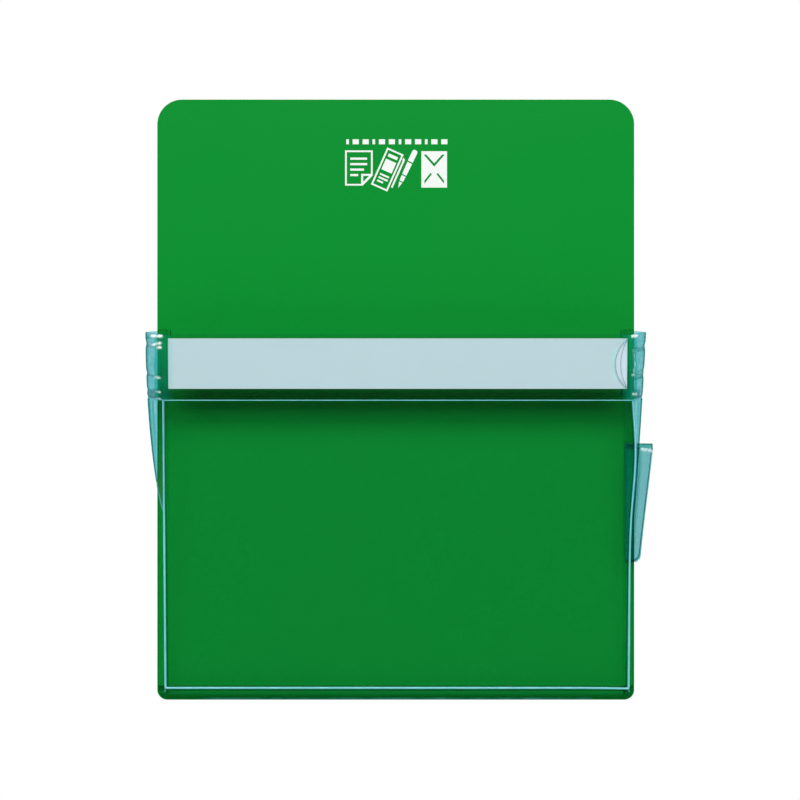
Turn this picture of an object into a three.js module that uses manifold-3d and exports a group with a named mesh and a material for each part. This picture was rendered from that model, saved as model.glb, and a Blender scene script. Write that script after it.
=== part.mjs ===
// Magnetic document pocket: a die-cut magnet sheet with a coloured face, a clear film pocket
// with pleated sides, a doubled rim that holds a title strip, and a pen sleeve at its side.
// Sizes are in millimetres. The pocket is drawn with x to the right, y up and z out of the
// sheet. The finished group is turned so that +Z is up and the magnet's back lies on y = 0.

import * as THREE from "three";
import { mergeVertices } from "three/addons/utils/BufferGeometryUtils.js";
import Module from "manifold-3d";

// Backing: a vinyl face laminated to a flexible magnet, both cut by one die
const sheetWidth = 240;
const sheetHeight = 302;
const topCornerRadius = 12.5;
const bottomCornerRadius = 5;
const magnetThickness = 0.75;
const faceThickness = 0.25;

// Pocket: one clear film, folded to a tray that leans forward and welded to the backing
const filmThickness = 0.4;
const weldInset = 0.6; // from the sheet's edge to the film's edge
const sideWeldWidth = 5.1;
const footWeldWidth = 0.8;
const pocketHeight = 183; // from the sheet's lower edge to the mouth
const mouthDepth = 22; // clear of the backing, at the mouth
const baseDepth = 7; // the same at the front panel's lower fold
const floorRise = 7.2; // from the sheet's lower edge to that fold
const rimLift = 3.3; // the film's top edge is this much higher at the backing
const leftCreaseInset = 5; // from the sheet's edge to the front panel's folds
const rightCreaseInset = 3.7;

// Side pleats: each gusset folds outwards in a V that dies out below
const pleatReach = 4.9; // beyond the sheet's edge, at the mouth
const leftPleatLength = 93;
const rightPleatLength = 150;
const leftPleatRound = 2; // a high power holds the V open at first
const rightPleatRound = 1.15;
const leftPleatFade = 0.68; // a low power closes it late
const rightPleatFade = 1;
const beadRadius = 0.7; // welded bead on the front panel's three folds
const rimFoldRadius = 0.4; // of the two side folds where the rim's second layer backs them

// Rim: a second layer inside the mouth, welded below, with the title strip between the two
const labelHeight = 25;
const labelThickness = 0.25;
const labelTopGap = 1.7;
const labelFootGap = 2.4;
const labelLeftGap = 2.4;
const labelRightGap = 1.7;
const seamWidth = 3.5;
const slipClearance = 0.3; // on either side of the strip, and between welded layers
const notchHeight = 24; // half-moon cut in the front film over the strip's right end
const notchReach = 6;

// Pen sleeve: a folded film from the right side weld round to the front panel's right fold
const penDrop = 54; // from the mouth to the sleeve's top
const penHeight = 59;
const penTopReach = 9; // beyond the sheet's edge
const penFootReach = 2;
const penFoldDepth = 4; // of the outer fold, at the sleeve's top
const penCornerRadius = 3.5;
const penBulge = 2.5; // of the front layer, outwards
const penMouthDip = 3.3; // the front layer's top edge is this much lower
const penWeldWidth = 2.8;
const creaseBow = 2.5; // how far the sleeve pulls the right fold outwards
const creaseBowSpread = 19;

// Steps of the curved forms
const cornerSegments = 10;
const pleatRows = 26;
const lowerRows = 6;
const rimRows = 8;
const penRows = 20;
const penCurvePoints = 7;
const beadSegments = 6;
const overshoot = 4; // of the bodies that only cut

const backing = magnetThickness + faceThickness;
const halfWidth = sheetWidth / 2;
const sheetFoot = -sheetHeight / 2;
const mouth = sheetFoot + pocketHeight;
const panelFoot = sheetFoot + floorRise;
const filmEdge = halfWidth - weldInset;
const filmFoot = sheetFoot + weldInset;
const rootX = filmEdge - sideWeldWidth;
const penTop = mouth - penDrop;
const penFoot = penTop - penHeight;
const rimHeight = labelTopGap + labelHeight + labelFootGap + seamWidth;
const rimFoot = mouth - rimHeight;
const leftCreaseX = leftCreaseInset - halfWidth;
const rightCreaseX = halfWidth - rightCreaseInset;
const panelSlope = (mouthDepth - baseDepth) / (mouth - panelFoot);
const panelTilt = Math.atan(panelSlope);

const wasm = await Module();
wasm.setup();

// A closed geometry as a solid for joining and cutting
function solidOf(geometry) {
  const bare = geometry.index ? geometry.toNonIndexed() : geometry.clone();
  bare.deleteAttribute("normal");
  bare.deleteAttribute("uv");
  const merged = mergeVertices(bare, 1e-4);
  return new wasm.Manifold(new wasm.Mesh({
    numProp: 3,
    vertProperties: merged.attributes.position.array,
    triVerts: new Uint32Array(merged.index.array),
  }));
}

// A joined or cut solid as a geometry again
function geometryOf(solid) {
  const mesh = solid.getMesh();
  const geometry = new THREE.BufferGeometry();
  geometry.setAttribute("position", new THREE.BufferAttribute(mesh.vertProperties, mesh.numProp));
  geometry.setIndex(new THREE.BufferAttribute(mesh.triVerts, 1));
  return geometry;
}

// A closed body through convex rings with the same number of points
function skin(rings) {
  const count = rings[0].length;
  const last = (rings.length - 1) * count;
  const index = [];
  for (let row = 0; row < last; row += count) {
    for (let i = 0; i < count; i += 1) {
      const here = row + i;
      const next = row + ((i + 1) % count);
      index.push(here, next, next + count, here, next + count, here + count);
    }
  }
  for (let i = 1; i + 1 < count; i += 1) {
    index.push(0, i + 1, i, last, last + i, last + i + 1);
  }
  const geometry = new THREE.BufferGeometry().setFromPoints(rings.flat());
  geometry.setIndex(index);
  return solidOf(geometry);
}

// Even heights from low to high, both included
function steps(low, high, count) {
  return Array.from({ length: count + 1 }, (_, i) => low + ((high - low) * i) / count);
}

// The outline of the sheet, or of a film welded on it, drawn inset from the sheet's edge
function sheetOutline(inset) {
  const right = halfWidth - inset;
  const foot = sheetFoot + inset;
  const head = -foot;
  const low = Math.max(bottomCornerRadius - inset, 0.1);
  const high = topCornerRadius - inset;
  const outline = new THREE.Shape();
  outline.moveTo(low - right, foot);
  outline.absarc(right - low, foot + low, low, -Math.PI / 2, 0);
  outline.absarc(right - high, head - high, high, 0, Math.PI / 2);
  outline.absarc(high - right, head - high, high, Math.PI / 2, Math.PI);
  outline.absarc(low - right, foot + low, low, Math.PI, Math.PI * 1.5);
  return outline;
}

function plate(outline, thickness) {
  return new THREE.ExtrudeGeometry(outline, {
    depth: thickness,
    bevelEnabled: false,
    curveSegments: cornerSegments,
  });
}

function panelDepth(y) {
  return baseDepth + (y - panelFoot) * panelSlope;
}

function rightCrease(y) {
  const away = (y - (penTop - creaseBow * 2)) / creaseBowSpread;
  return rightCreaseX + creaseBow * Math.exp((-away * away) / 2);
}

// How far the V stands out at a height, from 1 at the mouth to 0 where it has died out
function pleatShare(y, length, round, fade) {
  const down = THREE.MathUtils.clamp((mouth - y) / length, 0, 1);
  return (1 - down ** round) ** fade;
}

// The film's outer face across the pocket at one height: side weld, V, fold, fold, V, side weld
function pocketPath(y) {
  const depth = panelDepth(y);
  const fold = (crease, share) => {
    const side = Math.sign(crease);
    const flat = (side * rootX + crease) / 2;
    const out = side * (halfWidth + pleatReach) - flat;
    return new THREE.Vector2(flat + out * share, depth / 2);
  };
  const leftShare = pleatShare(y, leftPleatLength, leftPleatRound, leftPleatFade);
  const rightShare = pleatShare(y, rightPleatLength, rightPleatRound, rightPleatFade);
  return [
    new THREE.Vector2(-rootX, 0),
    fold(leftCreaseX, leftShare),
    new THREE.Vector2(leftCreaseX, depth),
    new THREE.Vector2(rightCrease(y), depth),
    fold(rightCreaseX, rightShare),
    new THREE.Vector2(rootX, 0),
  ];
}

// A path moved to its right with mitred folds, its two ends run on or back to one depth
function insetPath(path, distance, endDepth) {
  const along = path.slice(1).map((point, i) => point.clone().sub(path[i]).normalize());
  const across = along.map((way) => new THREE.Vector2(way.y, -way.x));
  const atEnd = (point, way, normal) => {
    const moved = point.clone().addScaledVector(normal, distance);
    return moved.addScaledVector(way, (endDepth - moved.y) / way.y);
  };
  const last = path.length - 1;
  return path.map((point, i) => {
    if (i === 0) return atEnd(point, along[0], across[0]);
    if (i === last) return atEnd(point, along[last - 1], across[last - 1]);
    const mitre = across[i - 1].clone().add(across[i]);
    mitre.divideScalar(1 + across[i - 1].dot(across[i]));
    return point.clone().addScaledVector(mitre, distance);
  });
}

// A path as a ring, its height raised towards the backing as the film's top edge is
function raisedRing(path, y) {
  const share = (y - panelFoot) / (mouth - panelFoot);
  const depth = panelDepth(y);
  return path.map((point) => {
    const lift = rimLift * share * (1 - point.y / depth);
    return new THREE.Vector3(point.x, y + lift, point.y + backing);
  });
}

function pocketRing(y, inset, endDepth) {
  return raisedRing(insetPath(pocketPath(y), inset, endDepth), y);
}

// A fold's round bead, centred in the film, from the face before it to the face after it
function foldBead(before, fold, after, middle, radius) {
  const meet = (end) => {
    const way = end.clone().sub(fold).normalize();
    const beside = middle.clone().sub(fold).dot(way);
    const off = Math.sqrt(radius ** 2 - (filmThickness / 2) ** 2);
    return fold.clone().addScaledVector(way, beside + off).sub(middle).angle();
  };
  const from = meet(before);
  const turn = THREE.MathUtils.euclideanModulo(from - meet(after), Math.PI * 2);
  return steps(from, from - turn, beadSegments).map(
    (angle) => middle.clone().add(new THREE.Vector2(radius).rotateAround(new THREE.Vector2(), angle)),
  );
}

// What lies above the mouth, whose rim is higher at the backing than in front
function aboveMouth() {
  const rim = (depth) => mouth + rimLift * (1 - depth / mouthDepth);
  const ring = (x) => [
    new THREE.Vector3(x, rim(-mouthDepth), backing - mouthDepth),
    new THREE.Vector3(x, sheetHeight, backing - mouthDepth),
    new THREE.Vector3(x, sheetHeight, backing + 2 * mouthDepth),
    new THREE.Vector3(x, rim(2 * mouthDepth), backing + 2 * mouthDepth),
  ];
  return skin([ring(-sheetWidth), ring(sheetWidth)]);
}

// The film's outer face with the beads that stiffen the front panel's two side folds
function beadedPath(y) {
  const path = pocketPath(y);
  const middles = insetPath(path, filmThickness / 2, 0);
  const radius = y < rimFoot ? beadRadius : rimFoldRadius;
  return path.flatMap((point, i) => {
    if (i !== 2 && i !== 3) return [point];
    return foldBead(path[i - 1], point, path[i + 1], middles[i], radius);
  });
}

// What lies below the pocket's sloping floor, moved into the pocket by a distance
function belowFloor(distance) {
  const weld = new THREE.Vector2(filmFoot + footWeldWidth, 0);
  const fold = new THREE.Vector2(panelFoot, baseDepth);
  const up = fold.clone().sub(weld).normalize();
  const inwards = new THREE.Vector2(up.y, -up.x);
  const low = weld.clone().addScaledVector(inwards, distance).addScaledVector(up, -mouthDepth);
  const high = fold.clone().addScaledVector(inwards, distance).addScaledVector(up, mouthDepth);
  const far = inwards.clone().multiplyScalar(-3 * mouthDepth);
  const corners = [low, high, high.clone().add(far), low.clone().add(far)];
  const ring = (x) => corners.map((p) => new THREE.Vector3(x, p.x, p.y + backing));
  return skin([ring(-sheetWidth), ring(sheetWidth)]);
}

// The bead along the front panel's lower fold
function footBead() {
  const middle = insetPath(pocketPath(panelFoot), filmThickness / 2, 0);
  const ends = [middle[2], middle[3]].map((p) => new THREE.Vector3(p.x, panelFoot, p.y + backing));
  return solidOf(new THREE.ExtrudeGeometry(
    new THREE.Shape().absarc(0, 0, beadRadius, 0, Math.PI * 2),
    { curveSegments: beadSegments, steps: 1, extrudePath: new THREE.LineCurve3(...ends) },
  ));
}

// The side and foot welds, one flat U on the backing whose inner edge ends inside the walls
function weldFlange() {
  const flange = solidOf(plate(sheetOutline(weldInset), filmThickness).translate(0, 0, backing));
  const side = rootX - filmThickness / 8;
  const foot = filmFoot + footWeldWidth + filmThickness;
  const ring = (y) => [
    new THREE.Vector3(-side, y, 0),
    new THREE.Vector3(-side, y, mouthDepth),
    new THREE.Vector3(side, y, mouthDepth),
    new THREE.Vector3(side, y, 0),
  ];
  return flange.subtract(skin([ring(foot), ring(sheetHeight)]));
}

// The strip's right end and middle height, on the front panel
const labelLeft = leftCreaseX + labelLeftGap;
const labelRight = rightCreaseX - labelRightGap;
const labelMiddle = mouth - labelTopGap - labelHeight / 2;

// Moves a geometry drawn about the origin to the front panel, behind its outer face
function ontoPanel(geometry, x, y, behind) {
  geometry.rotateX(panelTilt);
  const depth = panelDepth(y) - behind / Math.cos(panelTilt);
  return geometry.translate(x, y, depth + backing);
}

// The half-moon that bares the strip's right end, cut through the front film alone
function thumbNotch() {
  const radius = (notchHeight ** 2 / 4 + notchReach ** 2) / (2 * notchReach);
  const spread = Math.asin(notchHeight / 2 / radius);
  const middle = radius - notchReach;
  const outline = new THREE.Shape();
  outline.absarc(middle, 0, radius, Math.PI - spread, Math.PI + spread);
  const cut = plate(outline, overshoot);
  return solidOf(ontoPanel(cut, labelRight, labelMiddle, filmThickness + slipClearance / 2));
}

function pocketFilm() {
  const pleatFoot = mouth - leftPleatLength;
  const low = steps(filmFoot, pleatFoot, lowerRows);
  const high = steps(pleatFoot, mouth, pleatRows).slice(1);
  const heights = [...low, ...high, mouth + overshoot];
  const outside = skin(heights.map((y) => raisedRing(beadedPath(y), y)));
  const inside = skin(heights.map((y) => pocketRing(y, filmThickness, -1)));
  const walls = outside
    .subtract(belowFloor(0))
    .subtract(inside.subtract(belowFloor(filmThickness)));
  const whole = walls.add(weldFlange()).add(footBead());
  return geometryOf(whole.subtract(thumbNotch()).subtract(aboveMouth()));
}

// The rim's inner layer, held off the film by the strip and pressed back to it at the seam
function rimLayer() {
  const closed = filmThickness + slipClearance;
  const open = closed + labelThickness + slipClearance;
  const seamTop = rimFoot + seamWidth;
  const rows = [
    [rimFoot, closed],
    [seamTop, closed],
    ...steps(seamTop + labelFootGap / 2, mouth, rimRows).map((y) => [y, open]),
  ];
  const hollow = [[rimFoot - overshoot, closed], ...rows, [mouth + overshoot, open]];
  const outside = skin(rows.map(([y, inset]) => pocketRing(y, inset, 0)));
  const inside = skin(hollow.map(([y, inset]) => pocketRing(y, inset + filmThickness, -1)));
  return geometryOf(outside.subtract(inside));
}

function titleLabel() {
  const strip = new THREE.BoxGeometry(labelRight - labelLeft, labelHeight, labelThickness);
  const behind = filmThickness + slipClearance + labelThickness / 2;
  return ontoPanel(strip, (labelLeft + labelRight) / 2, labelMiddle, behind);
}

// The sleeve's outer face at one height, from the front panel's fold round to the side weld
function penPath(y) {
  const down = THREE.MathUtils.clamp((penTop - y) / penHeight, 0, 1);
  const inCorner = Math.max(penCornerRadius - (y - penFoot), 0);
  const cornerLoss = penCornerRadius - Math.sqrt(penCornerRadius ** 2 - inCorner ** 2);
  const reach = THREE.MathUtils.lerp(penTopReach, penFootReach, down) - cornerLoss;
  const depth = panelDepth(y);
  const start = new THREE.Vector2(
    rightCrease(y) + beadRadius + slipClearance,
    depth - filmThickness,
  );
  const fold = new THREE.Vector2(
    halfWidth + reach,
    filmThickness + (penFoldDepth * depth) / panelDepth(penTop),
  );
  const pull = start.clone().add(fold).divideScalar(2);
  const out = new THREE.Vector2(start.y - fold.y, fold.x - start.x).normalize();
  pull.addScaledVector(out, 2 * penBulge);
  const front = new THREE.QuadraticBezierCurve(start, pull, fold).getPoints(penCurvePoints);
  const edge = new THREE.Vector2(filmEdge, filmThickness);
  return [...front, edge, new THREE.Vector2(filmEdge - penWeldWidth, filmThickness)];
}

function penSleeve() {
  const heights = [penFoot, ...steps(penFoot + filmThickness, penTop, penRows)];
  const cut = [...heights.slice(1), penTop + overshoot];
  const dip = (i, y) => {
    const share = THREE.MathUtils.clamp((y - penFoot) / penHeight, 0, 1);
    return i < penCurvePoints ? penMouthDip * share * (0.5 + i / (2 * penCurvePoints)) : 0;
  };
  const outer = heights.map((y) => penPath(y).map(
    (point, i) => new THREE.Vector3(point.x, y - dip(i, y), point.y + backing),
  ));
  const inner = cut.map((y) => {
    const path = penPath(y);
    const way = path[path.length - 1].clone().sub(path[path.length - 2]).normalize();
    path.push(path[path.length - 1].clone().addScaledVector(way, penTopReach));
    path.unshift(path[0].clone().sub(path[1]).normalize().multiplyScalar(penTopReach).add(path[0]));
    return insetOpenPath(path, filmThickness).map(
      (point) => new THREE.Vector3(point.x, y, point.y + backing),
    );
  });
  const beside = steps(penFoot - overshoot, penTop + overshoot, penRows);
  const gusset = skin(beside.map((y) => pocketRing(y, -slipClearance, 0)));
  return geometryOf(skin(outer).subtract(skin(inner)).subtract(gusset));
}

// A path moved to its right with mitred folds, its ends moved straight across
function insetOpenPath(path, distance) {
  const along = path.slice(1).map((point, i) => point.clone().sub(path[i]).normalize());
  const across = along.map((way) => new THREE.Vector2(way.y, -way.x));
  return path.map((point, i) => {
    const before = across[Math.max(i - 1, 0)];
    const after = across[Math.min(i, across.length - 1)];
    const mitre = before.clone().add(after).divideScalar(1 + before.dot(after));
    return point.clone().addScaledVector(mitre, distance);
  });
}

const magnetRubber = new THREE.MeshStandardMaterial({
  color: 0x3b332e,
  roughness: 0.75,
  metalness: 0,
});
const greenVinyl = new THREE.MeshStandardMaterial({
  color: 0x128f34,
  roughness: 0.45,
  metalness: 0,
});
const clearFilm = new THREE.MeshStandardMaterial({
  color: 0xa9dbe2,
  roughness: 0.12,
  metalness: 0,
  transparent: true,
  opacity: 0.4,
});
const titlePaper = new THREE.MeshStandardMaterial({
  color: 0xe9f0f2,
  roughness: 0.8,
  metalness: 0,
});

function piece(name, geometry, material) {
  const mesh = new THREE.Mesh(geometry, material);
  mesh.name = name;
  return mesh;
}

const magnetSheet = piece("magnet_sheet", plate(sheetOutline(0), magnetThickness), magnetRubber);
const faceSheet = piece("face_sheet", plate(sheetOutline(0), faceThickness), greenVinyl);
faceSheet.position.z = magnetThickness;

const pocket = new THREE.Group();
pocket.add(
  magnetSheet,
  faceSheet,
  piece("pocket_film", pocketFilm(), clearFilm),
  piece("rim_layer", rimLayer(), clearFilm),
  piece("title_label", titleLabel(), titlePaper),
  piece("pen_sleeve", penSleeve(), clearFilm),
);
pocket.rotation.x = Math.PI / 2;

const group = new THREE.Group();
group.add(pocket);

export default group;
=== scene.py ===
import math

import bpy
import numpy as np
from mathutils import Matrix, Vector


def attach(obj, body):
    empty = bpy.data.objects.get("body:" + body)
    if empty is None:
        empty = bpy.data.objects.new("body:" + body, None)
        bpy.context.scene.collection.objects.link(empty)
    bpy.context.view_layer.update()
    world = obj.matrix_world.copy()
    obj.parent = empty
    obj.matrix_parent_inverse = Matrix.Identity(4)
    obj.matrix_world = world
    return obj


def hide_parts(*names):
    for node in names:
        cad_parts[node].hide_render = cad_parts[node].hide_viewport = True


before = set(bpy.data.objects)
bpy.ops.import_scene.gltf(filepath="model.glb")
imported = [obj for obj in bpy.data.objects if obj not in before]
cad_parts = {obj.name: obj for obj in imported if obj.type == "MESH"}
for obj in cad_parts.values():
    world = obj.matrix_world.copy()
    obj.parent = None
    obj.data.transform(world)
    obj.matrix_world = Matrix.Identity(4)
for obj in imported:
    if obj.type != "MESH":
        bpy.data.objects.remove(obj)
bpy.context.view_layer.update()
scene = bpy.context.scene
mm = 0.001
print("frame loaded")

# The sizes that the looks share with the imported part, in millimetres. Across the sheet is x,
# up is y and depth is measured from the face of the backing towards the camera. A pleat holds
# how far down it reaches and the two powers by which it dies out.
pocket = {
    "backing": 1.0,
    "sheetEdge": 120.0,
    "film": 0.4,
    "mouth": 32.0,
    "panelFoot": -143.8,
    "filmFoot": -150.4,
    "floorWeld": -149.6,
    "mouthDepth": 22.0,
    "baseDepth": 7.0,
    "rimLift": 3.3,
    "rimFoot": -0.6,
    "rootX": 114.3,
    "filmEdge": 119.4,
    "footRadius": 4.4,
    "leftCrease": -115.0,
    "rightCrease": 116.3,
    "pleatReach": 124.9,
    "leftPleat": (93.0, 2.0, 0.68),
    "rightPleat": (150.0, 1.15, 1.0),
    "bow": 2.5,
    "bowAt": -27.0,
    "bowSpread": 19.0,
}
arcTurns = 6  # points in each round fold
arcShare = 0.45  # the most of a side's length that a round fold takes


def toWorld(x, up, depth):
    return (x * mm, -(depth + pocket["backing"]) * mm, up * mm)


# A value held between 0 and 1
def held(value):
    return min(max(value, 0), 1)


# A smooth hump that is 1 at its middle
def hump(value, at, half):
    return math.exp(-((value - at) / half) ** 2)


def panelDepth(y):
    slope = (pocket["mouthDepth"] - pocket["baseDepth"]) / (pocket["mouth"] - pocket["panelFoot"])
    return pocket["baseDepth"] + (y - pocket["panelFoot"]) * slope


def rightCrease(y):
    away = (y - pocket["bowAt"]) / pocket["bowSpread"]
    return pocket["rightCrease"] + pocket["bow"] * math.exp(-away * away / 2)


def pleatShare(y, length, power, fade):
    down = held((pocket["mouth"] - y) / length)
    return (1 - down ** power) ** fade


# The film's outer face across the pocket at one height: six corners, from weld to weld
def pocketCorners(y, depth=None):
    depth = panelDepth(y) if depth is None else depth

    def fold(side, crease, share):
        flat = (side * pocket["rootX"] + crease) / 2
        return (flat + (side * pocket["pleatReach"] - flat) * share, depth / 2)

    left = fold(-1, pocket["leftCrease"], pleatShare(y, *pocket["leftPleat"]))
    right = fold(1, pocket["rightCrease"], pleatShare(y, *pocket["rightPleat"]))
    return [
        (-pocket["rootX"], 0.0),
        left,
        (pocket["leftCrease"], depth),
        (rightCrease(y), depth),
        right,
        (pocket["rootX"], 0.0),
    ]


def unit(x, y):
    size = math.hypot(x, y) or 1.0
    return x / size, y / size


# A path moved to its right by a distance, with mitred corners
def insetPath(path, distance):
    ways = [unit(b[0] - a[0], b[1] - a[1]) for a, b in zip(path, path[1:])]
    normals = [(way[1], -way[0]) for way in ways]
    moved = []
    for i, point in enumerate(path):
        before = normals[max(i - 1, 0)]
        after = normals[min(i, len(normals) - 1)]
        share = distance / (1 + before[0] * after[0] + before[1] * after[1])
        moved.append((point[0] + (before[0] + after[0]) * share,
                      point[1] + (before[1] + after[1]) * share))
    return moved


# A path through corners with round folds: the same number of points whatever the corners are
def roundedPath(corners, radii, spans, turns=arcTurns):
    points = []
    last = len(corners) - 1
    leave = corners[0]
    for i in range(1, last + 1):
        here = corners[i]
        if i == last:
            arrive = here
            arc = []
        else:
            back = unit(corners[i - 1][0] - here[0], corners[i - 1][1] - here[1])
            ahead = unit(corners[i + 1][0] - here[0], corners[i + 1][1] - here[1])
            cosine = min(max(back[0] * ahead[0] + back[1] * ahead[1], -0.9999), 0.9999)
            half = math.acos(cosine) / 2
            room = arcShare * min(math.dist(here, corners[i - 1]), math.dist(here, corners[i + 1]))
            reach = min(radii[i - 1] / math.tan(half), room)
            arrive = (here[0] + back[0] * reach, here[1] + back[1] * reach)
            depart = (here[0] + ahead[0] * reach, here[1] + ahead[1] * reach)
            arc = []
            for step in range(1, turns + 1):
                t = step / turns
                a, b, c = (1 - t) ** 2, 2 * t * (1 - t), t * t
                arc.append((a * arrive[0] + b * here[0] + c * depart[0],
                            a * arrive[1] + b * here[1] + c * depart[1]))
        count = spans[i - 1]
        for step in range(count + 1 if i == 1 else count):
            t = step / count if i == 1 else (step + 1) / count
            points.append((leave[0] + (arrive[0] - leave[0]) * t,
                           leave[1] + (arrive[1] - leave[1]) * t))
        points.extend(arc)
        if arc:
            leave = arc[-1]
    return points


def riseTowardsBacking(y, depth, front):
    share = (y - pocket["panelFoot"]) / (pocket["mouth"] - pocket["panelFoot"])
    return y + pocket["rimLift"] * max(share, 0) * (1 - depth / front)


def meshObject(name, verts, faces, material, smooth=True):
    mesh = bpy.data.meshes.new(name)
    mesh.from_pydata(verts, [], faces)
    mesh.update()
    made = bpy.data.objects.new(name, mesh)
    scene.collection.objects.link(made)
    mesh.materials.append(material)
    for polygon in mesh.polygons:
        polygon.use_smooth = smooth
    return made


# A closed wall inwards from the outer face that the rows of points give. The layers hold a value
# at each point for the film's look, and the wall's borders get the look of a cut edge.
def filmShell(name, rows, layers, material, thickness):
    outer = np.array([[toWorld(*point) for point in row] for row in rows])
    along = np.gradient(outer, axis=1)
    up = np.gradient(outer, axis=0)
    normals = np.cross(along, up)
    normals /= np.linalg.norm(normals, axis=2, keepdims=True)
    inner = outer - normals * thickness * mm
    high, wide = outer.shape[:2]
    verts = np.concatenate([outer.reshape(-1, 3), inner.reshape(-1, 3)])
    index = np.arange(high * wide).reshape(high, wide)
    front = np.stack([index[:-1, :-1], index[:-1, 1:], index[1:, 1:], index[1:, :-1]], axis=2)
    front = front.reshape(-1, 4)
    back = front[:, ::-1] + high * wide
    border = np.concatenate([index[0], index[1:, -1], index[-1, -2::-1], index[-2:0:-1, 0]])
    after = np.roll(border, -1)
    rim = np.stack([border, border + high * wide, after + high * wide, after], axis=1)
    faces = np.concatenate([front, back, rim]).tolist()
    made = meshObject(name, verts.tolist(), faces, material)
    mesh = made.data
    mesh.materials.append(edgeLook)
    for polygon in mesh.polygons[len(faces) - len(rim):]:
        polygon.material_index = 1
        polygon.use_smooth = False
    for key, values in layers.items():
        flat = np.array(values, dtype=float).reshape(-1)
        layer = mesh.attributes.new(key, "FLOAT", "POINT")
        layer.data.foreach_set("value", np.concatenate([flat, flat]))
    return made


# The piece with its modifiers made part of a plain mesh
def applied(piece):
    depsgraph = bpy.context.evaluated_depsgraph_get()
    mesh = bpy.data.meshes.new_from_object(piece.evaluated_get(depsgraph), depsgraph=depsgraph)
    old = piece.data
    piece.modifiers.clear()
    piece.data = mesh
    if old.users == 0:
        (bpy.data.curves if isinstance(old, bpy.types.Curve) else bpy.data.meshes).remove(old)
    return piece


# Sharp edges round the cut edges of a film, so that the wall's shading stays flat up to them
def sharpRims(piece):
    mesh = piece.data
    keys = set()
    for polygon in mesh.polygons:
        if polygon.material_index == 1:
            keys.update(polygon.edge_keys)
    for edge in mesh.edges:
        if edge.key in keys:
            edge.use_edge_sharp = True


# Shader graphs

noiseRange = (0.3, 0.7)  # most of a noise texture's values lie between these


class Value:
    # One output of a node, with arithmetic
    def __init__(self, graph, output):
        self.graph = graph
        self.output = output

    def maths(self, operation, first, second):
        return self.graph.node("ShaderNodeMath", {"operation": operation}, {0: first, 1: second})

    def __add__(self, other):
        return self.maths("ADD", self, other)

    def __radd__(self, other):
        return self.maths("ADD", other, self)

    def __mul__(self, other):
        return self.maths("MULTIPLY", self, other)

    def __rmul__(self, other):
        return self.maths("MULTIPLY", other, self)

    def __pow__(self, other):
        return self.maths("POWER", self, other)

    def lower(self, other):
        return self.maths("MINIMUM", self, other)

    def out(self, name):
        return Value(self.graph, self.output.node.outputs[name])


class Graph:
    def __init__(self, tree):
        self.tree = tree
        tree.nodes.clear()

    def node(self, kind, settings=None, values=None):
        made = self.tree.nodes.new(kind)
        for key, value in (settings or {}).items():
            setattr(made, key, value)
        for key, value in (values or {}).items():
            if isinstance(value, Value):
                self.tree.links.new(value.output, made.inputs[key])
            else:
                made.inputs[key].default_value = value
        return Value(self, made.outputs[0]) if made.outputs else made

    def noise(self, vector, scale, detail=2.0, rough=0.5):
        return self.node("ShaderNodeTexNoise", None, {
            "Vector": vector, "Scale": scale, "Detail": detail, "Roughness": rough,
        })

    def span(self, value, low, high, start, end):
        return self.node("ShaderNodeMapRange", {"interpolation_type": "SMOOTHSTEP"}, {
            "Value": value, "From Min": low, "From Max": high, "To Min": start, "To Max": end,
        })

    # A noise's usual range laid over two values
    def spread(self, noise, start, end):
        return self.span(noise, *noiseRange, start, end)

    def bump(self, height, strength, distance):
        return self.node("ShaderNodeBump", None, {
            "Strength": strength, "Distance": distance, "Height": height,
        })

    def mix(self, factor, first, second):
        return self.node("ShaderNodeMixShader", None, {0: factor, 1: first, 2: second})

    def colour(self, factor, first, second):
        return self.node("ShaderNodeMix", {"data_type": "RGBA"}, {
            0: factor, 6: first, 7: second,
        }).out(2)

    def place(self):
        return self.node("ShaderNodeTexCoord").out("Object")


def newMaterial(name):
    material = bpy.data.materials.new(name)
    material.use_nodes = True
    return material, Graph(material.node_tree)


def shown(graph, shader):
    graph.node("ShaderNodeOutputMaterial", None, {"Surface": shader})


# Materials. A look names its colours and its noises, each by scale in cells to a metre, detail
# and roughness. A bump is a strength and a height in metres.

def faceVinyl():
    look = {
        "base": (0.0030, 0.277, 0.0315, 1),
        "worn": (0.0022, 0.262, 0.0285, 1),
        "cloud": (14.0, 3.0),
        "grain": (2600.0, 2.0, 0.6),
        "ripple": (60.0, 2.0),
        "grainShare": 0.6,
        "roughness": (0.26, 0.32),
        "specular": 0.12,
        "bump": (0.12, 0.00004),
    }
    material, graph = newMaterial("faceVinyl")
    place = graph.place()
    cloud = graph.noise(place, *look["cloud"])
    grain = graph.noise(place, *look["grain"])
    ripple = graph.noise(place, *look["ripple"])
    height = grain * look["grainShare"] + ripple * (1 - look["grainShare"])
    shown(graph, graph.node("ShaderNodeBsdfPrincipled", None, {
        "Base Color": graph.colour(cloud, look["base"], look["worn"]),
        "Roughness": graph.spread(cloud, *look["roughness"]),
        "Specular IOR Level": look["specular"],
        "Normal": graph.bump(height, *look["bump"]),
    }))
    return material


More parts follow.
